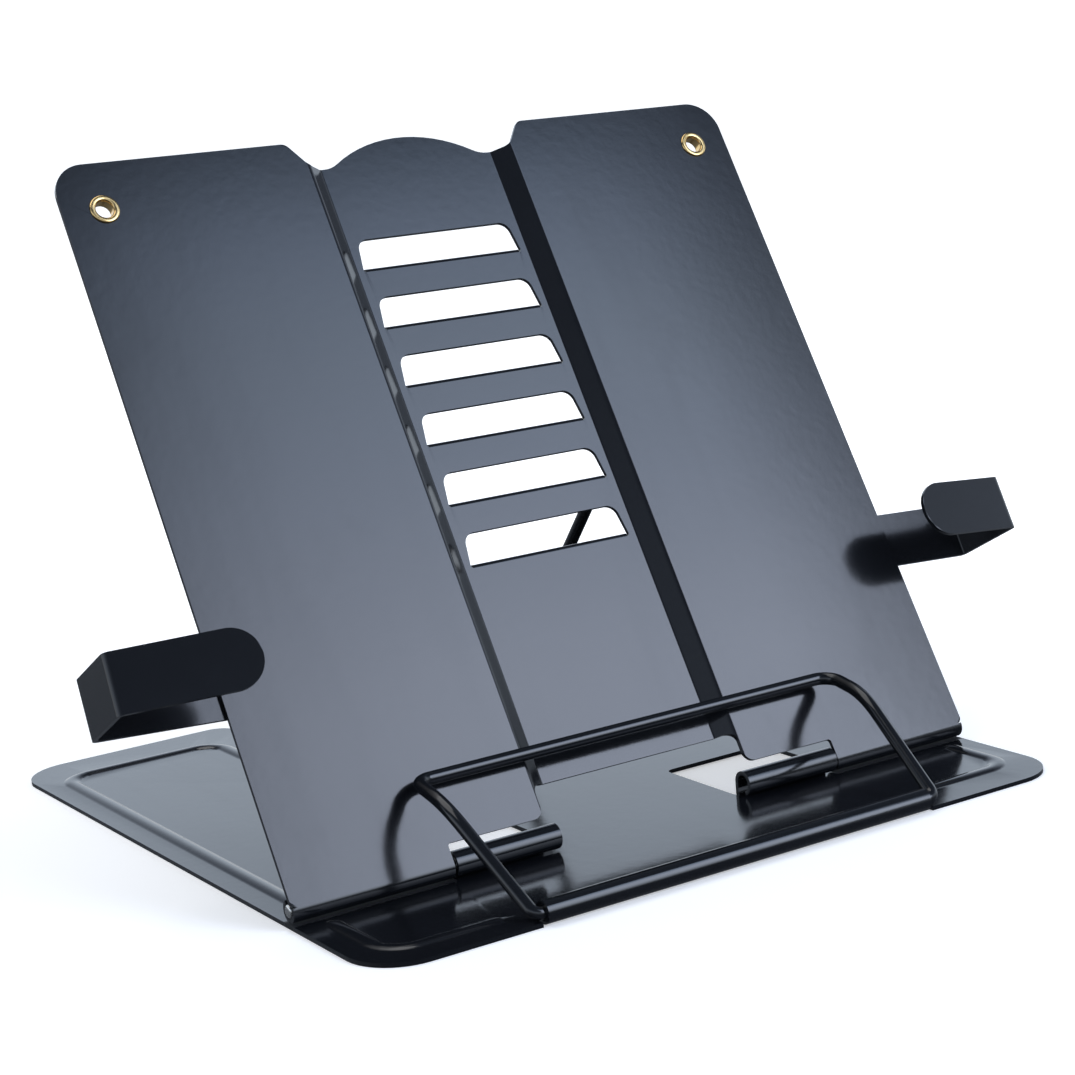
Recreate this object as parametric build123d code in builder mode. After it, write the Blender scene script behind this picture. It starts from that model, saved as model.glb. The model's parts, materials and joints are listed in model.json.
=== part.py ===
from build123d import *
from math import cos, radians, sin
import os

# Folding book stand of enamelled steel sheet and bent wire. Millimetres.
# Origin: on the table under the hinge line, on the centre plane. +X to the reader's right,
# +Y to the back, +Z up.

os.makedirs("parts", exist_ok=True)

# ---- driving dimensions --------------------------------------------------------------------
SHEET = 1.0                # every pressed part
WIRE_R = 1.5               # hinge pins, page bar and prop wire
FIT = 0.05                 # running clearance of a wire inside a rolled seat
CURL_IN = WIRE_R + FIT
CURL_OUT = CURL_IN + SHEET
BEND = 1.5                 # mid-sheet radius of the pressed bends

# base plate
HALF_WIDTH = 92.5
BASE_FRONT = -37.6
BASE_REAR = 156.0
BASE_CORNER = 12.5
ROLL_Y = -35.95            # axis of the front roll, which holds the page bar
ROLL_Z = CURL_OUT
ROLL_LEFT = -52.4
ROLL_RIGHT = 50.4
RELIEF = 1.0               # slit beside a rolled or curled tab
RELIEF_DEPTH = 6.0
NOTCH_HALF = 32.0          # recess in the rear edge
NOTCH_FRONT = 98.5
NOTCH_CORNER = 6.0
PROP_Y = 101.2             # axis of the roll that holds the prop wire
PROP_Z = CURL_OUT
PROP_ROLL_HALF = 16.5

# stiffening bead of the base, a half-round ridge with a matching groove underneath
BEAD_X = 85.3
BEAD_FRONTS = [(-1, -29.6), (1, -26.4)]    # side, front run
BEAD_REAR = 141.7
BEAD_END_X = 60.0
BEAD_BREAK = 6.5           # the bead stops this far before and behind the hinge barrels
BEAD_JOG_X = 42.3
BEAD_JOG_Y = 88.5
BEAD_TURN = 7.0
BEAD_OUT = 4.5
BEAD_IN = BEAD_OUT - SHEET
BEAD_AXIS_Z = -2.9
BEAD_SKIRT = 3.3           # height above the bead's axis where its section starts
GROOVE_SKIRT = 2.6

# hinge
HINGE_Z = 3.8
TILT = 60.2                # back plate above the horizontal, as it stands
KNUCKLES = [(-52.5, -25.7), (26.5, 52.5)]
KNUCKLE_BORE = 1.9         # the knuckles are curled loosely round the pins
KNUCKLE_Z = 4.15
KNUCKLE_SWEEP = 250.0
KNUCKLE_BEND = 0.4
HOLES = [(-53.1, -22.8), (25.9, 56.0)]
HOLE_FRONT = 1.5           # hole behind each knuckle, starting at the bend of its foot
HOLE_REAR = 30.5
HOLE_CORNER = 2.0
PIN_IN = 30.0
PIN_OUT = 92.5
PIN_CHAMFER = 0.3
BARREL_IN = 53.1           # rolled hinge barrels of the back plate
BARREL_OUT = 92.2
BARREL_SWEEP = 265.0
ROLL_SWEEP = 300.0

# back plate, in its own plane: X across, S up the plate from the hinge line
FRONT_FACE = CURL_OUT
PLATE_TOP = 176.1
PLATE_CORNER = 8.0
PLATE_FOOT_CORNER = 1.5
NOTCH_TOP = 4.6            # underside of each wing over the knuckle
WING_FOOT_CORNER = 2.5
NOTCH_FILLET = 0.8
WINDOW_TOP = 12.4          # lower edge of the channel
WINDOW_CORNER = 2.5
CHANNEL_DEPTH = 3.14
STEP_OUT = 28.2            # channel step, from the wing to the channel floor
STEP_IN = 24.2
VALLEY_S = 169.9
VALLEY_CORNER = 3.0
WING_SLOPE_X = 32.6        # inner end of each wing's top edge
WING_SLOPE_CORNER = 2.5
HUMP_CREST = 176.5
HUMP_R = 36.0
HUMP_MID_ANGLE = 15.0
HUMP_BLEND = 7.0

# ladder of prop slots in the channel floor
SLOT_COUNT = 6
SLOT_FIRST_S = 143.0       # lower edge of the top slot
SLOT_PITCH = 15.4
SLOT_HEIGHT = 7.4
SLOT_HALF_FOOT = 22.2
SLOT_SIDE_ANGLE = 82.0     # sides lean in towards the top
SLOT_TOP_CORNER = 3.0
SLOT_FOOT_CORNER = 0.8
TONGUE_BEND = 0.1          # inside radius where each tongue turns back
TONGUE_HALF = 21.5
TONGUE_DEPTH = 2.5         # reach of each tongue behind the channel

# eyelets
EYELET_X = 82.3
EYELET_S = 164.2
EYELET_BORE = 2.1
EYELET_BARREL = 2.7
EYELET_FLANGE = 3.6
EYELET_RISE = 0.55
EYELET_CURL = 3.7          # radius over the curl that clinches the barrel behind the wing
EYELET_CURL_DEPTH = 2.0
EYELET_CURL_CORNER = 0.8
EYELET_SEAT = 0.05         # clearance of the barrel in the plate's hole

# page arms: strip of sheet bent to a U, its rear blade behind the wing
ARM_WIDTH = 13.7
ARM_REAR_O = 0.8           # middle of the rear blade, from the hinge line along the normal
ARM_REAR_LENGTH = 62.0     # rear blade, from its inner end to the outer bend
ARM_HEAD_LENGTH = 3.0
ARM_HEAD_EXTRA = 2.2       # how far the stop head stands out above and below the blade
ARM_BEND = 1.2
ARM_TIP_R = 6.8
ARM_HEAD_CORNER = 0.6
ARM_LEAN = 3.2             # both arms sit askew in their guides, their right ends low
# side, lower edge in the guide, outer bend behind, outer bend in front, tip; both are sprung open
ARMS = [
    ("left", -1, 42.2, 121.9, (121.1, 17.4), (89.5, 22.5)),
    ("right", 1, 43.3, 115.8, (119.6, 18.2), (91.6, 20.6)),
]

# guide straps behind the wings
GUIDE_IN = 76.5
GUIDE_LENGTH = 12.0
GUIDE_MID = GUIDE_IN + GUIDE_LENGTH / 2
GUIDE_FOOT = 5.0
GUIDE_PLAY = 0.5
GUIDE_BACK_O = -0.45
GUIDE_BEND = 0.6

# page bar, bent from wire
BAR_FEET_X = (-54.5, 53.3)  # the hand-bent legs stand a little askew
BAR_ELBOWS_X = (-59.3, 54.6)
BAR_CORNERS_X = (-57.4, 57.2)
BAR_ELBOW = (-11.4, 21.8)
BAR_CROSS = (4.2, 23.0)
BAR_JOURNAL_END = 30.0
BAR_BENDS = [2.0, 20.0, 4.0, 4.0, 20.0, 2.0]

# prop wire, bent from wire
PROP_X = 20.0
PROP_CROSS_S = 78.5
PROP_CROSS_O = FRONT_FACE - CHANNEL_DEPTH - SHEET - 4.8
PROP_JOURNAL_END = 3.0
PROP_BEND = 3.0

# ---- planes --------------------------------------------------------------------------------
UP_PLATE = Vector(0, cos(radians(TILT)), sin(radians(TILT)))
OUT_OF_PLATE = Vector(0, -sin(radians(TILT)), cos(radians(TILT)))
HINGE = Vector(0, 0, HINGE_Z)
PLATE = Plane(origin=HINGE, x_dir=(1, 0, 0), z_dir=OUT_OF_PLATE)
ALONG_ARM = Vector(1, 0, 0) * cos(radians(ARM_LEAN)) - UP_PLATE * sin(radians(ARM_LEAN))
ACROSS_ARM = OUT_OF_PLATE.cross(ALONG_ARM)


def on_plate(x, s, o):
    """Point at x across, s up the plate and o out of it, from the hinge line."""
    return HINGE + Vector(x, 0, 0) + UP_PLATE * s + OUT_OF_PLATE * o


def across_plate(s):
    """Plane square to the plate at height s: X across, Y out of the plate, facing down it."""
    return Plane(origin=on_plate(0, s, 0), x_dir=(1, 0, 0), z_dir=-UP_PLATE)


def beside_plate(x):
    """Plane square to the hinge line at x: X up the plate, Y out of it."""
    return Plane(origin=on_plate(x, 0, 0), x_dir=UP_PLATE, z_dir=(1, 0, 0))


def across_arm(side, foot):
    """Plane square to an arm at its upper edge: X along the arm, Y out of the plate, facing down."""
    middle = on_plate(side * GUIDE_MID, foot + ARM_WIDTH / 2, 0)
    corner = middle - ALONG_ARM * side * GUIDE_MID + ACROSS_ARM * (ARM_WIDTH / 2)
    return Plane(origin=corner, x_dir=ALONG_ARM, z_dir=-ACROSS_ARM)


# ---- shared outlines -----------------------------------------------------------------------
def ring_sector(centre, inner, outer, start, angle):
    """Face between two arcs about one centre."""
    with BuildSketch(mode=Mode.PRIVATE) as sector:
        with BuildLine():
            arc_out = CenterArc(centre, outer, start, angle)
            arc_in = CenterArc(centre, inner, start, angle)
            Line(arc_in @ 0, arc_out @ 0)
            Line(arc_in @ 1, arc_out @ 1)
        make_face()
    return sector.sketch_local


def strip_section(points, bend):
    """Face one sheet thick along a bent mid-line."""
    with BuildSketch(mode=Mode.PRIVATE) as strip:
        with BuildLine(mode=Mode.PRIVATE) as route:
            FilletPolyline(*points, radius=bend)
        trace(route.line, line_width=SHEET)
    return strip.sketch_local


def wire_part(points, bends):
    """Round wire bent through the points."""
    with BuildPart() as wire:
        with BuildLine() as route:
            FilletPolyline(*points, radius=bends)
        with BuildSketch(Plane(origin=route.line @ 0, z_dir=route.line % 0)):
            Circle(WIRE_R)
        sweep()
    return wire


# ---- base plate ----------------------------------------------------------------------------
rear_run = [
    (-BEAD_X, BEAD_BREAK),
    (-BEAD_X, BEAD_REAR),
    (-BEAD_JOG_X, BEAD_REAR),
    (-BEAD_JOG_X, BEAD_JOG_Y),
    (BEAD_JOG_X, BEAD_JOG_Y),
    (BEAD_JOG_X, BEAD_REAR),
    (BEAD_X, BEAD_REAR),
    (BEAD_X, BEAD_BREAK),
]
front_runs = [
    [(side * BEAD_END_X, front), (side * BEAD_X, front), (side * BEAD_X, -BEAD_BREAK)]
    for side, front in BEAD_FRONTS
]


def bead_body(radius, skirt):
    """Ridges of circular section along the bead's runs, domed at their ends."""
    section_size = 4 * radius
    with BuildPart() as bead:
        for run in [rear_run, *front_runs]:
            with BuildLine(Plane.XY.offset(BEAD_AXIS_Z)) as route:
                FilletPolyline(*run, radius=BEAD_TURN)
            start = Plane(origin=route.line @ 0, x_dir=(0, 0, 1), z_dir=route.line % 0)
            with BuildSketch(start):
                Circle(radius)
                with Locations((skirt + section_size / 2, 0)):
                    Rectangle(section_size, section_size, mode=Mode.INTERSECT)
            sweep()
            with Locations(route.line @ 0, route.line @ 1):
                Sphere(radius)
        with Locations((0, 0, BEAD_AXIS_Z + skirt)):
            Box(3 * BASE_REAR, 3 * BASE_REAR, section_size,
                align=(Align.CENTER, Align.CENTER, Align.MIN), mode=Mode.INTERSECT)
    return bead.part


bead_ridge = bead_body(BEAD_OUT, BEAD_SKIRT)
bead_groove = bead_body(BEAD_IN, GROOVE_SKIRT)

with BuildPart() as base_plate:
    base_depth = BASE_REAR - BASE_FRONT
    roll_cut = ROLL_Y - BASE_FRONT
    roll_length = ROLL_RIGHT - ROLL_LEFT
    with BuildSketch():
        with Locations((0, (BASE_REAR + BASE_FRONT) / 2)):
            RectangleRounded(2 * HALF_WIDTH, base_depth, BASE_CORNER)
        # front edge under the roll, with a relief slit at each end
        with Locations(((ROLL_LEFT + ROLL_RIGHT) / 2, BASE_FRONT)):
            Rectangle(roll_length, 2 * roll_cut, mode=Mode.SUBTRACT)
        with Locations((ROLL_LEFT - RELIEF / 2, BASE_FRONT), (ROLL_RIGHT + RELIEF / 2, BASE_FRONT)):
            Rectangle(RELIEF, 2 * RELIEF_DEPTH, mode=Mode.SUBTRACT)
        # rear recess, leaving the tab that rolls round the prop wire
        mouth_half = NOTCH_HALF + 2 * NOTCH_CORNER
        with BuildLine():
            FilletPolyline(
                (-mouth_half, BASE_REAR),
                (-NOTCH_HALF, BASE_REAR),
                (-NOTCH_HALF, NOTCH_FRONT),
                (NOTCH_HALF, NOTCH_FRONT),
                (NOTCH_HALF, BASE_REAR),
                (mouth_half, BASE_REAR),
                radius=NOTCH_CORNER,
            )
            Polyline(
                (-mouth_half, BASE_REAR),
                (-mouth_half, BASE_REAR + NOTCH_CORNER),
                (mouth_half, BASE_REAR + NOTCH_CORNER),
                (mouth_half, BASE_REAR),
            )
        make_face(mode=Mode.SUBTRACT)
        with Locations((0, NOTCH_FRONT)):
            Rectangle(2 * PROP_ROLL_HALF, 2 * (PROP_Y - NOTCH_FRONT))
        # hole behind each knuckle
        hole_length = HOLE_REAR - HOLE_FRONT
        hole_y = (HOLE_REAR + HOLE_FRONT) / 2
        for left, right in HOLES:
            with Locations(((left + right) / 2, hole_y)):
                RectangleRounded(right - left, hole_length, HOLE_CORNER, mode=Mode.SUBTRACT)
    extrude(amount=SHEET)
    add(bead_ridge)
    add(bead_groove, mode=Mode.SUBTRACT)
    # front roll
    with BuildSketch(Plane.YZ.offset(ROLL_LEFT)):
        add(ring_sector((ROLL_Y, ROLL_Z), CURL_IN, CURL_OUT, 270 - ROLL_SWEEP, ROLL_SWEEP))
    extrude(amount=roll_length)
    # roll of the prop wire
    with BuildSketch(Plane.YZ.offset(-PROP_ROLL_HALF)):
        add(ring_sector((PROP_Y, PROP_Z), CURL_IN, CURL_OUT, -90, ROLL_SWEEP))
    extrude(amount=2 * PROP_ROLL_HALF)
    # knuckles: each tab rises from the front edge of its hole and curls forward over the pin
    bend_y = KNUCKLE_BORE - KNUCKLE_BEND
    bend_z = SHEET + KNUCKLE_BEND
    for left, right in KNUCKLES:
        with BuildSketch(Plane.YZ.offset(left)):
            add(ring_sector((bend_y, bend_z), KNUCKLE_BEND, KNUCKLE_BEND + SHEET, -90, 90))
            with Locations((bend_y, 0)):
                Rectangle(bend_y - HOLE_FRONT + HOLE_CORNER, SHEET, align=(Align.MAX, Align.MIN))
            with Locations((KNUCKLE_BORE, bend_z)):
                Rectangle(SHEET, KNUCKLE_Z - bend_z, align=(Align.MIN, Align.MIN))
            add(ring_sector((0, KNUCKLE_Z), KNUCKLE_BORE, KNUCKLE_BORE + SHEET, 0, KNUCKLE_SWEEP))
        extrude(amount=right - left)
base_plate.part.label = "base_plate"
export_step(base_plate.part, "parts/base_plate.step")

# ---- hinge pins ----------------------------------------------------------------------------
for side, name in ((-1, "left_hinge_pin"), (1, "right_hinge_pin")):
    start_x = PIN_IN if side > 0 else -PIN_OUT
    with BuildPart() as hinge_pin:
        with BuildSketch(Plane.YZ.offset(start_x)):
            with Locations((0, HINGE_Z)):
                Circle(WIRE_R)
        extrude(amount=PIN_OUT - PIN_IN)
        chamfer(hinge_pin.edges().filter_by(GeomType.CIRCLE), PIN_CHAMFER)
    hinge_pin.part.label = name
    export_step(hinge_pin.part, f"parts/{name}.step")

# ---- back plate ----------------------------------------------------------------------------
FLOOR_FRONT = FRONT_FACE - CHANNEL_DEPTH
FLOOR_BACK = FLOOR_FRONT - SHEET
SHEET_MARGIN = 4.0         # how far the pressed section runs past the outline before it is trimmed

with BuildPart() as back_plate:
    # pressed section: two wings and a channel between them
    mid_wing = FRONT_FACE - SHEET / 2
    mid_floor = FLOOR_FRONT - SHEET / 2
    wing_end = HALF_WIDTH + SHEET_MARGIN
    with BuildSketch(across_plate(PLATE_TOP + SHEET_MARGIN)):
        add(strip_section(
            [
                (-wing_end, mid_wing),
                (-STEP_OUT, mid_wing),
                (-STEP_IN, mid_floor),
                (STEP_IN, mid_floor),
                (STEP_OUT, mid_wing),
                (wing_end, mid_wing),
            ],
            BEND,
        ))
    extrude(amount=PLATE_TOP + SHEET_MARGIN)
    # outline seen from the front
    with BuildSketch(PLATE.offset(-2 * CHANNEL_DEPTH)) as outline:
        with BuildLine():
            Polyline(
                (0, WINDOW_TOP),
                (STEP_OUT, WINDOW_TOP),
                (STEP_OUT, NOTCH_TOP),
                (BARREL_IN, NOTCH_TOP),
                (BARREL_IN, 0),
                (HALF_WIDTH, 0),
                (HALF_WIDTH, PLATE_TOP),
                (WING_SLOPE_X, PLATE_TOP),
                (STEP_OUT, VALLEY_S),
                (0, VALLEY_S),
                close=True,
            )
        make_face()
        hump_foot = (HUMP_R ** 2 - (VALLEY_S - HUMP_CREST + HUMP_R) ** 2) ** 0.5
        with BuildLine():
            hump_arc = ThreePointArc(
                (hump_foot, VALLEY_S),
                (HUMP_R * sin(radians(HUMP_MID_ANGLE)),
                 HUMP_CREST - HUMP_R + HUMP_R * cos(radians(HUMP_MID_ANGLE))),
                (0, HUMP_CREST),
            )
            Polyline((0, HUMP_CREST), (0, VALLEY_S), (hump_foot, VALLEY_S))
        make_face()
        corners = [
            ((hump_foot, VALLEY_S), HUMP_BLEND),
            ((STEP_OUT, VALLEY_S), VALLEY_CORNER),
            ((WING_SLOPE_X, PLATE_TOP), WING_SLOPE_CORNER),
            ((HALF_WIDTH, PLATE_TOP), PLATE_CORNER),
            ((HALF_WIDTH, 0), PLATE_FOOT_CORNER),
            ((BARREL_IN, NOTCH_TOP), NOTCH_FILLET),
            ((STEP_OUT, NOTCH_TOP), WING_FOOT_CORNER),
            ((STEP_OUT, WINDOW_TOP), WINDOW_CORNER),
        ]
        for corner, corner_radius in corners:
            fillet(outline.vertices().sort_by_distance((*corner, 0))[0], corner_radius)
        mirror(about=Plane.YZ)
    extrude(amount=4 * CHANNEL_DEPTH, mode=Mode.INTERSECT)
    # hinge barrels
    for start_x in (-BARREL_OUT, BARREL_IN):
        with BuildSketch(beside_plate(start_x)):
            add(ring_sector((0, 0), WIRE_R, CURL_OUT, 90, BARREL_SWEEP))
        extrude(amount=BARREL_OUT - BARREL_IN)
    # ladder: a slot and, along its lower edge, a tongue turned back
    bend_outer = TONGUE_BEND + SHEET
    slot_feet = [SLOT_FIRST_S - SLOT_PITCH * i for i in range(SLOT_COUNT)]
    with BuildSketch(PLATE.offset(FLOOR_BACK)) as slots:
        with Locations(*[(0, s) for s in slot_feet]):
            with Locations((0, -bend_outer)):
                Trapezoid(2 * SLOT_HALF_FOOT, SLOT_HEIGHT + bend_outer, SLOT_SIDE_ANGLE,
                          align=(Align.CENTER, Align.MIN))
        upper = slots.vertices().filter_by(lambda v: abs(v.X) < SLOT_HALF_FOOT - SLOT_FOOT_CORNER / 2)
        fillet(upper, SLOT_TOP_CORNER)
        lower = slots.vertices().filter_by(lambda v: abs(v.X) > SLOT_HALF_FOOT - SLOT_FOOT_CORNER / 10)
        fillet(lower, SLOT_FOOT_CORNER)
    extrude(amount=SHEET, mode=Mode.SUBTRACT)
    with BuildSketch(beside_plate(-TONGUE_HALF)):
        for s in slot_feet:
            add(ring_sector((s - bend_outer, FLOOR_FRONT - bend_outer), TONGUE_BEND, bend_outer, 0, 90))
            with Locations((s, FLOOR_FRONT - bend_outer)):
                Rectangle(SHEET, TONGUE_DEPTH - TONGUE_BEND, align=(Align.MAX, Align.MAX))
    extrude(amount=2 * TONGUE_HALF)
    # eyelet holes
    with BuildSketch(PLATE.offset(FRONT_FACE)):
        with Locations((-EYELET_X, EYELET_S), (EYELET_X, EYELET_S)):
            Circle(EYELET_BARREL + EYELET_SEAT)
    extrude(amount=-SHEET, mode=Mode.SUBTRACT)
back_plate.part.label = "back_plate"
export_step(back_plate.part, "parts/back_plate.step")

# ---- eyelets: a barrel with a domed front lip, clinched into a curl behind the wing ---------
for side, name in ((-1, "left_eyelet"), (1, "right_eyelet")):
    centre = on_plate(side * EYELET_X, EYELET_S, 0)
    front_top = FRONT_FACE + EYELET_RISE
    back_face = FRONT_FACE - SHEET
    curl_end = back_face - EYELET_CURL_DEPTH
    with BuildPart() as eyelet:
        with BuildSketch(Plane(origin=centre, x_dir=(1, 0, 0), z_dir=-UP_PLATE)):
            with BuildLine():
                Polyline(
                    (EYELET_FLANGE - EYELET_RISE, front_top),
                    (EYELET_BORE + EYELET_RISE, front_top),
                    (EYELET_BORE, front_top - EYELET_RISE),
                    (EYELET_BORE, curl_end + EYELET_RISE),
                    (EYELET_BORE + EYELET_RISE, curl_end),
                    (EYELET_CURL - EYELET_CURL_CORNER, curl_end),
                    (EYELET_CURL, curl_end + EYELET_CURL_CORNER),
                    (EYELET_CURL, back_face - EYELET_CURL_CORNER),
                    (EYELET_CURL - EYELET_CURL_CORNER, back_face),
                    (EYELET_BARREL, back_face),
                    (EYELET_BARREL, FRONT_FACE),
                    (EYELET_FLANGE, FRONT_FACE),
                    close=True,
                )
            make_face()
        revolve(axis=Axis(centre, OUT_OF_PLATE))
    eyelet.part.label = name
    export_step(eyelet.part, f"parts/{name}.step")

# ---- page arms and their guides ------------------------------------------------------------
for arm_name, side, foot, rear_x, front, tip in ARMS:
    head_x = rear_x - ARM_REAR_LENGTH
    section = across_arm(side, foot)
    with BuildPart() as page_arm:
        with BuildSketch(section):
            add(strip_section(
                [
                    (side * head_x, ARM_REAR_O),
                    (side * rear_x, ARM_REAR_O),
                    (side * front[0], front[1]),
                    (side * tip[0], tip[1]),
                ],
                ARM_BEND,
            ))
        extrude(amount=ARM_WIDTH)
        # rounded end of the front blade
        tip_end = section.from_local_coords((side * tip[0], tip[1], ARM_WIDTH / 2))
        tip_edges = page_arm.edges().filter_by(lambda e: abs(e.length - SHEET) < SHEET / 100)
        fillet(tip_edges.sort_by_distance(tip_end)[:2], ARM_TIP_R)
        # stop head, wider than the guide's opening
        head_x_mid = side * (head_x + ARM_HEAD_LENGTH / 2)
        head_centre = section.from_local_coords((head_x_mid, ARM_REAR_O - SHEET / 2, ARM_WIDTH / 2))
        with BuildSketch(Plane(origin=head_centre, x_dir=ALONG_ARM, z_dir=OUT_OF_PLATE)):
            RectangleRounded(ARM_HEAD_LENGTH, ARM_WIDTH + 2 * ARM_HEAD_EXTRA, ARM_HEAD_CORNER)
        extrude(amount=SHEET)
    page_arm.part.label = f"{arm_name}_page_arm"
    export_step(page_arm.part, f"parts/{arm_name}_page_arm.step")

    # strap spot-welded to the back of the wing, with the arm's rear blade running through it
    leg_low = foot - GUIDE_PLAY - SHEET / 2
    leg_high = foot + ARM_WIDTH + GUIDE_PLAY + SHEET / 2
    foot_o = FRONT_FACE - SHEET - SHEET / 2
    start_x = GUIDE_IN if side > 0 else -GUIDE_IN - GUIDE_LENGTH
    with BuildPart() as arm_guide:
        with BuildSketch(beside_plate(start_x)):
            add(strip_section(
                [
                    (leg_low - GUIDE_FOOT, foot_o),
                    (leg_low, foot_o),
                    (leg_low, GUIDE_BACK_O),
                    (leg_high, GUIDE_BACK_O),
                    (leg_high, foot_o),
                    (leg_high + GUIDE_FOOT, foot_o),
                ],
                GUIDE_BEND,
            ))
        extrude(amount=GUIDE_LENGTH)
    arm_guide.part.label = f"{arm_name}_arm_guide"
    export_step(arm_guide.part, f"parts/{arm_name}_arm_guide.step")

# ---- page bar ------------------------------------------------------------------------------
page_bar = wire_part(
    [
        (-BAR_JOURNAL_END, ROLL_Y, ROLL_Z),
        (BAR_FEET_X[0], ROLL_Y, ROLL_Z),
        (BAR_ELBOWS_X[0], *BAR_ELBOW),
        (BAR_CORNERS_X[0], *BAR_CROSS),
        (BAR_CORNERS_X[1], *BAR_CROSS),
        (BAR_ELBOWS_X[1], *BAR_ELBOW),
        (BAR_FEET_X[1], ROLL_Y, ROLL_Z),
        (BAR_JOURNAL_END, ROLL_Y, ROLL_Z),
    ],
    BAR_BENDS,
)
page_bar.part.label = "page_bar"
export_step(page_bar.part, "parts/page_bar.step")

# ---- prop wire -----------------------------------------------------------------------------
prop_cross_left = on_plate(-PROP_X, PROP_CROSS_S, PROP_CROSS_O)
prop_cross_right = on_plate(PROP_X, PROP_CROSS_S, PROP_CROSS_O)
prop_wire = wire_part(
    [
        (-PROP_JOURNAL_END, PROP_Y, PROP_Z),
        (-PROP_X, PROP_Y, PROP_Z),
        prop_cross_left,
        prop_cross_right,
        (PROP_X, PROP_Y, PROP_Z),
        (PROP_JOURNAL_END, PROP_Y, PROP_Z),
    ],
    PROP_BEND,
)
prop_wire.part.label = "prop_wire"
export_step(prop_wire.part, "parts/prop_wire.step")
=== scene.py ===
import json
import math
import bmesh
import bpy
from mathutils import Euler, Matrix, Vector


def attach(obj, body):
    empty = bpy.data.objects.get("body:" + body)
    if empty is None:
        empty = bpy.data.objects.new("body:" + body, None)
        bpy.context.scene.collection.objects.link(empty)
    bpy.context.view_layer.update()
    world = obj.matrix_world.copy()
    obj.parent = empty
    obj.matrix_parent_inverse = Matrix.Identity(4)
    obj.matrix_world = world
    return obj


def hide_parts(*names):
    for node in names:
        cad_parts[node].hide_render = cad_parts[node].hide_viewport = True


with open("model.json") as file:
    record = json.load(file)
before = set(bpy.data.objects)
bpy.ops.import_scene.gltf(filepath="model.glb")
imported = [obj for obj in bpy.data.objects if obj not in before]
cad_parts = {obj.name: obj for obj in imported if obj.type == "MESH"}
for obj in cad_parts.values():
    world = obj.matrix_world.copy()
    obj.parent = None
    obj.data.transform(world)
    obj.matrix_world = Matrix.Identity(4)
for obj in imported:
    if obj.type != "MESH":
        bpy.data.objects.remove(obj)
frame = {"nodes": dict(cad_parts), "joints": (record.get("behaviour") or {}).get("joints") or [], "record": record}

scene = bpy.context.scene
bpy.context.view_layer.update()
nodes = frame["nodes"]

# ---- directions of the tilted plate ---------------------------------------------------------
hinge = next(j for j in frame["joints"] if j["name"] == "plate_tilt")
HINGE = Vector(hinge["pos_m"])
eyelet_mounts = {m["name"]: m for m in frame["record"]["mounts"]}
OUT = Vector(eyelet_mounts["left_eyelet_bore"]["axis"]).normalized()
UP = Vector((0, OUT.z, -OUT.y))
MM = 0.001
ACROSS = Vector((1, 0, 0))
SHEET = 1.0             # thickness of every pressed part, in millimetres
WIRE_R = 1.5            # radius of the bent wires, in millimetres


# ---- material helpers -----------------------------------------------------------------------
def new_material(name):
    mat = bpy.data.materials.new(name)
    mat.use_nodes = True
    tree = mat.node_tree
    tree.nodes.clear()
    out = tree.nodes.new("ShaderNodeOutputMaterial")
    bsdf = tree.nodes.new("ShaderNodeBsdfPrincipled")
    tree.links.new(bsdf.outputs["BSDF"], out.inputs["Surface"])
    coord = tree.nodes.new("ShaderNodeTexCoord")
    return mat, tree, bsdf, coord.outputs["Object"]


def noise(tree, coord, scale, detail=2.0, rough=0.5, distort=0.0):
    n = tree.nodes.new("ShaderNodeTexNoise")
    n.inputs["Scale"].default_value = scale
    n.inputs["Detail"].default_value = detail
    n.inputs["Roughness"].default_value = rough
    n.inputs["Distortion"].default_value = distort
    tree.links.new(coord, n.inputs["Vector"])
    return n.outputs["Fac"]


def remap(tree, value, low, high, to_low, to_high):
    m = tree.nodes.new("ShaderNodeMapRange")
    m.clamp = True
    m.inputs["From Min"].default_value = low
    m.inputs["From Max"].default_value = high
    m.inputs["To Min"].default_value = to_low
    m.inputs["To Max"].default_value = to_high
    tree.links.new(value, m.inputs["Value"])
    return m.outputs["Result"]


def maths(tree, operation, a, b):
    m = tree.nodes.new("ShaderNodeMath")
    m.operation = operation
    for socket, value in zip(m.inputs, (a, b)):
        if isinstance(value, (int, float)):
            socket.default_value = value
        else:
            tree.links.new(value, socket)
    return m.outputs[0]


def mix_colour(tree, factor, a, b):
    m = tree.nodes.new("ShaderNodeMix")
    m.data_type = "RGBA"
    tree.links.new(factor, m.inputs["Factor"])
    for socket, value in zip((m.inputs[6], m.inputs[7]), (a, b)):
        if isinstance(value, tuple):
            socket.default_value = (*value, 1)
        else:
            tree.links.new(value, socket)
    return m.outputs[2]


def grade(tree, fac, stops):
    """A colour ramp over fac, its stops as (place, colour)."""
    ramp = tree.nodes.new("ShaderNodeValToRGB")
    elements = ramp.color_ramp.elements
    while len(elements) > 1:
        elements.remove(elements[0])
    for i, (place, colour) in enumerate(stops):
        element = elements[0] if i == 0 else elements.new(place)
        element.position = place
        element.color = (*colour, 1)
    tree.links.new(fac, ramp.inputs["Fac"])
    return ramp.outputs["Color"]


def bump(tree, bsdf, layers):
    """layers: (height, strength, distance in metres), from coarse to fine."""
    normal = None
    for height, strength, distance in layers:
        b = tree.nodes.new("ShaderNodeBump")
        b.inputs["Strength"].default_value = strength
        b.inputs["Distance"].default_value = distance
        tree.links.new(height, b.inputs["Height"])
        if normal is not None:
            tree.links.new(normal, b.inputs["Normal"])
        normal = b.outputs["Normal"]
    tree.links.new(normal, bsdf.inputs["Normal"])


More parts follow.
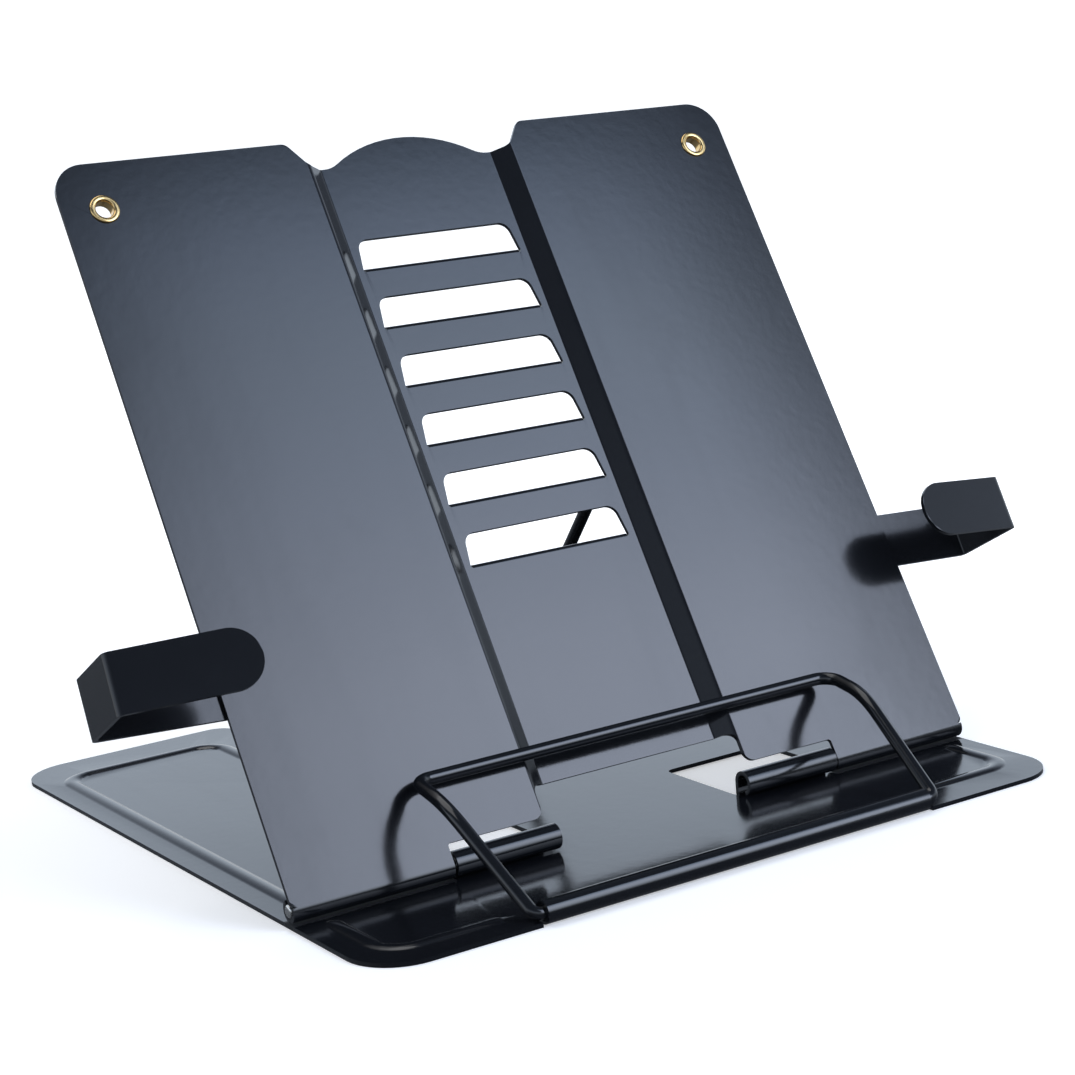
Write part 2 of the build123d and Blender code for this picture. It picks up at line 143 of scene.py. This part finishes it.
def enamel(name, rough=0.13, peel=1.0, tone=(0.0062, 0.0070, 0.0090), wiped=False):
    """Stoved black enamel: a faint orange peel and a little tone and gloss variation.

    A wiped surface also has handling marks: streaks along it and smudges.
    """
    mat, tree, bsdf, coord = new_material(name)
    cloudy = noise(tree, coord, 28, 3, 0.55)
    fine = noise(tree, coord, 900, 2, 0.5)
    tree.links.new(
        mix_colour(tree, cloudy, tuple(0.8 * c for c in tone), tuple(1.25 * c for c in tone)),
        bsdf.inputs["Base Color"],
    )
    gloss = maths(tree, "ADD", remap(tree, cloudy, 0.3, 0.7, rough - 0.015, rough + 0.02),
                  remap(tree, fine, 0.35, 0.65, -0.006, 0.006))
    tree.links.new(gloss, bsdf.inputs["Roughness"])
    bsdf.inputs["IOR"].default_value = 1.5
    peel_height = noise(tree, coord, 420, 2, 0.45)
    if wiped:
        along = tree.nodes.new("ShaderNodeMapping")
        along.inputs["Scale"].default_value = (1, 0.12, 0.12)
        tree.links.new(coord, along.inputs["Vector"])
        streaks = noise(tree, along.outputs["Vector"], 110, 3, 0.6)
        smudges = noise(tree, coord, 46, 4, 0.6, 0.4)
        marks = maths(tree, "ADD", remap(tree, streaks, 0.5, 0.75, 0.0, 0.03),
                      remap(tree, smudges, 0.62, 0.78, 0.0, 0.05))
        tree.links.new(maths(tree, "ADD", gloss, marks), bsdf.inputs["Roughness"])
    wave = noise(tree, coord, 14, 1, 0.4)
    bump(tree, bsdf, [
        (wave, 0.16, 0.0004),
        (peel_height, 0.05 * peel, 0.0002),
    ])
    return mat


def steel(name):
    mat, tree, bsdf, coord = new_material(name)
    streaks = tree.nodes.new("ShaderNodeMapping")
    streaks.inputs["Scale"].default_value = (0.04, 1, 1)
    tree.links.new(coord, streaks.inputs["Vector"])
    lines = noise(tree, streaks.outputs["Vector"], 5200, 2, 0.6)
    cloudy = noise(tree, coord, 600, 2, 0.5)
    tree.links.new(mix_colour(tree, cloudy, (0.56, 0.55, 0.53), (0.72, 0.71, 0.69)),
                   bsdf.inputs["Base Color"])
    bsdf.inputs["Metallic"].default_value = 1.0
    tree.links.new(remap(tree, lines, 0.3, 0.7, 0.16, 0.30), bsdf.inputs["Roughness"])
    bump(tree, bsdf, [(lines, 0.15, 0.00003)])
    return mat


def brass(name):
    mat, tree, bsdf, coord = new_material(name)
    cloudy = noise(tree, coord, 420, 3, 0.6)
    fine = noise(tree, coord, 3800, 2, 0.5)
    tree.links.new(mix_colour(tree, cloudy, (0.66, 0.43, 0.16), (0.80, 0.58, 0.28)),
                   bsdf.inputs["Base Color"])
    bsdf.inputs["Metallic"].default_value = 1.0
    tree.links.new(remap(tree, cloudy, 0.3, 0.75, 0.14, 0.30), bsdf.inputs["Roughness"])
    bump(tree, bsdf, [(fine, 0.08, 0.00004)])
    return mat


def dull_crevice(mat, reach, inner):
    """Takes the gloss off the two strips of the base that lie hidden under the hinge barrels."""
    tree = mat.node_tree
    bsdf = next(n for n in tree.nodes if n.type == "BSDF_PRINCIPLED")
    coord = next(n for n in tree.nodes if n.type == "TEX_COORD")
    split = tree.nodes.new("ShaderNodeSeparateXYZ")
    tree.links.new(coord.outputs["Object"], split.inputs["Vector"])
    away = maths(tree, "ABSOLUTE", split.outputs["Y"], 0.0)
    across = maths(tree, "ABSOLUTE", split.outputs["X"], 0.0)
    hidden = maths(tree, "MULTIPLY", remap(tree, away, reach * 0.5, reach, 0.85, 0.0),
                   remap(tree, across, inner - 0.001, inner, 0.0, 1.0))
    gloss = bsdf.inputs["Roughness"].links[0].from_socket
    tree.links.new(maths(tree, "MAXIMUM", gloss, hidden), bsdf.inputs["Roughness"])


plate_enamel = enamel("plate_enamel", wiped=True)
base_enamel = enamel("base_enamel", rough=0.12, wiped=True)
dull_crevice(base_enamel, 0.003, 0.0531)
arm_enamel = enamel("arm_enamel", rough=0.16, peel=1.3)
wire_enamel = enamel("wire_enamel", rough=0.14, peel=0.6)
pin_steel = steel("pin_steel")
eyelet_brass = brass("eyelet_brass")


# ---- carried-over CAD pieces ----------------------------------------------------------------
def dress(node, mat, edge=None):
    obj = nodes[node]
    obj.data.materials.clear()
    obj.data.materials.append(mat)
    weld = obj.modifiers.new("weld", "WELD")
    weld.merge_threshold = 0.000002
    if edge:
        bevel = obj.modifiers.new("bevel", "BEVEL")
        bevel.width = edge
        bevel.segments = 3
        bevel.limit_method = "ANGLE"
        bevel.angle_limit = math.radians(38)
        bevel.use_clamp_overlap = True
        bevel.harden_normals = False
    for polygon in obj.data.polygons:
        polygon.use_smooth = True
    normals = obj.modifiers.new("normals", "WEIGHTED_NORMAL")
    normals.keep_sharp = True
    return obj


dress("back_plate", plate_enamel, 0.00018)
dress("base_plate", base_enamel, 0.00018)
for side in ("left", "right"):
    dress(side + "_page_arm", arm_enamel, 0.00018)
    dress(side + "_arm_guide", arm_enamel, 0.00015)
    dress(side + "_hinge_pin", pin_steel)


# ---- eyelets: spun lip, throat, barrel and the curl behind the plate ------------------------
def arc(centre, radius, start, end, steps):
    """Points of an arc in the (radius, height) plane of a turned profile; angles in degrees."""
    angles = [math.radians(start + (end - start) * i / steps) for i in range(steps + 1)]
    return [(centre[0] + radius * math.cos(a), centre[1] + radius * math.sin(a)) for a in angles]


def turned(name, profile, centre, axis, segments, mat):
    """Closed solid of revolution from a closed profile in millimetres."""
    across = axis.orthogonal().normalized()
    other = axis.cross(across)
    mesh = bpy.data.meshes.new(name)
    bm = bmesh.new()
    rings = []
    for i in range(segments):
        turn = 2 * math.pi * i / segments
        outward = across * math.cos(turn) + other * math.sin(turn)
        rings.append([bm.verts.new(centre + (outward * r + axis * h) * MM) for r, h in profile])
    for i, ring in enumerate(rings):
        following = rings[(i + 1) % segments]
        for j in range(len(profile)):
            k = (j + 1) % len(profile)
            bm.faces.new((ring[j], ring[k], following[k], following[j]))
    bmesh.ops.recalc_face_normals(bm, faces=bm.faces)
    for face in bm.faces:
        face.smooth = True
    bm.to_mesh(mesh)
    bm.free()
    mesh.materials.append(mat)
    obj = bpy.data.objects.new(name, mesh)
    scene.collection.objects.link(obj)
    return obj


def eyelet(side):
    """Heights are measured from the plate's front face."""
    mount = eyelet_mounts[side + "_eyelet_bore"]
    bore = mount["dims"]["r_mm"]
    centre = Vector(mount["pos_m"]) + OUT * mount["dims"]["length_mm"] / 2 * MM
    lip = 0.5
    throat = 0.62
    curl = 0.72
    barrel = 2.7
    curl_end = -SHEET - 1.95
    profile = arc((3.06, 0.0), lip, 0, 90, 6)
    profile += arc((bore + throat, lip - throat), throat, 90, 180, 8)
    profile += arc((bore + curl, curl_end + curl), curl, 180, 270, 8)
    profile += arc((3.66 - curl, curl_end + curl), curl, 270, 360, 8)
    profile += arc((3.66 - 0.55, -SHEET - 0.58), 0.55, 0, 90, 6)
    profile += [(barrel, -SHEET - 0.03), (barrel, 0.0)]
    piece = turned(side + "_eyelet_spun", profile, centre, OUT, 72, eyelet_brass)
    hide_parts(side + "_eyelet")
    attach(piece, "back")


for side in ("left", "right"):
    eyelet(side)


# ---- page bar and prop: drawn wire bent round rollers ----------------------------------------
def rounded_path(corners, bends, steps=14):
    """Centre line in millimetres through the corners, each inner one rounded to its bend."""
    corners = [Vector(c) for c in corners]
    path = [corners[0]]
    for before, corner, after, bend in zip(corners, corners[1:], corners[2:], bends):
        back = (before - corner).normalized()
        on = (after - corner).normalized()
        half = back.angle(on) / 2
        middle = corner + (back + on).normalized() * (bend / math.sin(half))
        start = corner + back * (bend / math.tan(half)) - middle
        end = corner + on * (bend / math.tan(half)) - middle
        turn = math.pi - 2 * half
        for i in range(steps + 1):
            share = i / steps
            spoke = start * math.sin((1 - share) * turn) + end * math.sin(share * turn)
            path.append(middle + spoke / math.sin(turn))
    path.append(corners[-1])
    return path


def wire(node, body, corners, bends, mat, sides=32):
    path = rounded_path(corners, bends)
    tangents = []
    for i, point in enumerate(path):
        ahead = path[min(i + 1, len(path) - 1)] - point
        behind = point - path[max(i - 1, 0)]
        tangents.append((ahead.normalized() + behind.normalized()).normalized())
    normal = tangents[0].orthogonal().normalized()
    mesh = bpy.data.meshes.new(node + "_drawn")
    bm = bmesh.new()
    rings = []
    for point, tangent in zip(path, tangents):
        normal = (normal - tangent * normal.dot(tangent)).normalized()
        other = tangent.cross(normal)
        ring = []
        for k in range(sides):
            turn = 2 * math.pi * k / sides
            offset = (normal * math.cos(turn) + other * math.sin(turn)) * WIRE_R
            ring.append(bm.verts.new((point + offset) * MM))
        rings.append(ring)
    for first, second in zip(rings, rings[1:]):
        for k in range(sides):
            m = (k + 1) % sides
            bm.faces.new((first[k], first[m], second[m], second[k]))
    bm.faces.new(rings[0][::-1])
    bm.faces.new(rings[-1])
    bmesh.ops.recalc_face_normals(bm, faces=bm.faces)
    for face in bm.faces:
        face.smooth = len(face.verts) == 4
    bm.to_mesh(mesh)
    bm.free()
    mesh.materials.append(mat)
    piece = bpy.data.objects.new(node + "_drawn", mesh)
    scene.collection.objects.link(piece)
    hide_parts(node)
    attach(piece, body)


def bent_wire(half, reaches):
    """Corners of a U of wire: half runs from an end to the middle, reaches has each side's x."""
    left, right = reaches
    return ([corner - ACROSS * x for corner, x in zip(half, left)]
            + [corner + ACROSS * x for corner, x in zip(half[::-1], right[::-1])])


# page bar: ends in the front roll, feet, elbows and the two corners of the crossbar
bar_turn = Vector((0, -35.95, 2.55))
bar_elbow = Vector((0, -11.4, 21.8))
bar_cross = Vector((0, 4.2, 23.0))
bar_half = [bar_turn, bar_turn, bar_elbow, bar_cross]
bar_reaches = [(30.0, 54.5, 59.3, 57.4), (30.0, 53.3, 54.6, 57.2)]
foot_bend, elbow_bend, corner_bend = 2.0, 20.0, 4.0
bar_bends = [foot_bend, elbow_bend, corner_bend, corner_bend, elbow_bend, foot_bend]
wire("page_bar", "bar", bent_wire(bar_half, bar_reaches), bar_bends, wire_enamel)

# prop: ends in the rear roll, crossbar behind the ladder
prop_turn = Vector((0, 101.2, 2.55))
prop_cross = HINGE / MM + UP * 78.5 - OUT * 6.39
prop_reach = (3.0, 20.0, 20.0)
prop_bend = 3.0
prop_half = [prop_turn, prop_turn, prop_cross]
wire("prop_wire", "prop", bent_wire(prop_half, [prop_reach] * 2), [prop_bend] * 4, wire_enamel)


# ---- floor, light and camera ----------------------------------------------------------------
def make_floor():
    mesh = bpy.data.meshes.new("floor")
    bm = bmesh.new()
    bmesh.ops.create_grid(bm, x_segments=1, y_segments=1, size=40)
    bm.to_mesh(mesh)
    bm.free()
    floor = bpy.data.objects.new("floor", mesh)
    scene.collection.objects.link(floor)
    floor.location.z = -0.00002
    mat, tree, bsdf, coord = new_material("floor")
    bsdf.inputs["Base Color"].default_value = (0.88, 0.88, 0.88, 1)
    bsdf.inputs["Roughness"].default_value = 0.9
    bsdf.inputs["Specular IOR Level"].default_value = 0.1
    bsdf.inputs["Emission Color"].default_value = (1, 1, 1, 1)
    # the floor's glow is painted dimmer close to the stand, a painted shadow under and round it, so that the
    # stand's own cast shadow also shows there
    away = tree.nodes.new("ShaderNodeVectorMath")
    away.operation = "LENGTH"
    tree.links.new(coord, away.inputs[0])
    tree.links.new(remap(tree, away.outputs["Value"], 0.10, 0.40, 0.36, 0.80),
                   bsdf.inputs["Emission Strength"])
    mesh.materials.append(mat)
    floor.visible_glossy = False


make_floor()

world = bpy.data.worlds.new("studio")
scene.world = world
world.use_nodes = True
tree = world.node_tree
tree.nodes.clear()
out = tree.nodes.new("ShaderNodeOutputWorld")
background = tree.nodes.new("ShaderNodeBackground")
coord = tree.nodes.new("ShaderNodeTexCoord")
split = tree.nodes.new("ShaderNodeSeparateXYZ")
tree.links.new(coord.outputs["Generated"], split.inputs["Vector"])
height = maths(tree, "MULTIPLY", maths(tree, "ADD", split.outputs["Z"], 1.0), 0.5)
sky = grade(tree, height, [
    (0.0, (0.10, 0.11, 0.13)), (0.40, (0.16, 0.18, 0.21)), (0.488, (0.30, 0.33, 0.37)),
    (0.4965, (1.15, 1.2, 1.25)), (0.56, (1.05, 1.18, 1.34)), (0.64, (1.10, 1.26, 1.47)),
    (0.67, (1.0, 1.15, 1.36)), (0.75, (0.40, 0.47, 0.60)), (0.83, (0.10, 0.12, 0.16)),
    (1.0, (0.08, 0.10, 0.13)),
])
# the room behind the camera is dimmer near the horizon than the white sweep behind the stand
low = remap(tree, height, 0.58, 0.66, 1.0, 0.0)
ahead = remap(tree, split.outputs["Y"], -0.5, 0.1, 0.35, 1.0)
lost = maths(tree, "MULTIPLY", low, maths(tree, "SUBTRACT", 1.0, ahead))
dim = maths(tree, "SUBTRACT", 1.0, lost)
tree.links.new(dim, background.inputs["Strength"])
tree.links.new(sky, background.inputs["Color"])
tree.links.new(background.outputs["Background"], out.inputs["Surface"])


def area_light(name, centre, target, size, radiance, roll=0.0, drop=0.0):
    """Rectangular panel facing its target, then slid down its own plane by drop."""
    light = bpy.data.lights.new(name, "AREA")
    light.shape = "RECTANGLE"
    light.size, light.size_y = size
    light.energy = radiance * math.pi * size[0] * size[1]
    obj = bpy.data.objects.new(name, light)
    scene.collection.objects.link(obj)
    turn = (Vector(target) - Vector(centre)).to_track_quat("-Z", "Y").to_matrix()
    turn = turn @ Matrix.Rotation(roll, 3, "Z")
    obj.location = Vector(centre) - turn @ Vector((0, drop, 0))
    obj.rotation_euler = turn.to_euler()
    return obj


def fade(light, left, right, skew, up):
    """Soft panel: falls off to both sides, slanted by skew at the right, coloured by height."""
    light.use_nodes = True
    tree = light.node_tree
    tree.nodes.clear()
    out = tree.nodes.new("ShaderNodeOutputLight")
    emit = tree.nodes.new("ShaderNodeEmission")
    geometry = tree.nodes.new("ShaderNodeNewGeometry")
    split = tree.nodes.new("ShaderNodeSeparateXYZ")
    tree.links.new(geometry.outputs["Parametric"], split.inputs["Vector"])
    slanted = maths(tree, "ADD", split.outputs["X"],
                    maths(tree, "MULTIPLY", split.outputs["Y"], skew))
    sides = maths(tree, "MULTIPLY",
                  grade(tree, split.outputs["X"], [(place, (v, v, v)) for place, v in left]),
                  grade(tree, maths(tree, "DIVIDE", slanted, 1 + skew),
                        [(place / (1 + skew), (v, v, v)) for place, v in right]))
    tree.links.new(sides, emit.inputs["Strength"])
    tree.links.new(grade(tree, split.outputs["Y"], up), emit.inputs["Color"])
    tree.links.new(emit.outputs["Emission"], out.inputs["Surface"])


plate_centre = HINGE + 0.09 * UP
to_soft = Vector((0.517, -0.563, 0.644)).normalized()
front = area_light("front_soft", plate_centre + to_soft * 1.4, plate_centre, (0.74, 1.7), 6.7,
                   roll=math.radians(-35), drop=0.35)
fade(front.data,
     left=[(0.0, 0.25), (0.06, 0.55), (0.13, 0.70), (0.2, 0.88), (0.4, 1.0)],
     right=[(1.42, 1.0), (1.45, 0.92), (1.47, 0.81), (1.49, 0.73), (1.51, 0.61), (1.53, 0.48),
            (1.55, 0.37), (1.57, 0.29), (1.59, 0.235), (1.61, 0.18), (1.72, 0.0)], skew=1.02,
     up=[(0.0, (0.0, 0.0, 0.0)), (0.10, (0.22, 0.25, 0.30)), (0.28, (0.42, 0.47, 0.56)),
         (0.40, (0.62, 0.69, 0.84)), (0.47, (0.70, 0.78, 0.96)), (0.60, (0.73, 0.81, 1.0)),
         (0.647, (0.62, 0.70, 0.88)), (0.706, (0.51, 0.60, 0.78)), (0.765, (0.43, 0.52, 0.67)),
         (0.815, (0.34, 0.42, 0.58)), (0.853, (0.15, 0.20, 0.28)), (0.882, (0.0, 0.0, 0.0))])
area_light("overhead", (-0.3, 0.7, 1.7), (0, 0.05, 0.05), (2.0, 1.4), 1.8)

camera_data = bpy.data.cameras.new("camera")
camera = bpy.data.objects.new("camera", camera_data)
scene.collection.objects.link(camera)
camera.location = (-0.30173, -0.44831, 0.17554)
camera.rotation_euler = Euler([math.radians(a) for a in (78.806, 4.579, -32.678)])
camera_data.sensor_width = 36
camera_data.lens = 82.954
camera_data.clip_start = 0.01
scene.camera = camera

scene.view_settings.view_transform = "Standard"
scene.view_settings.look = "None"
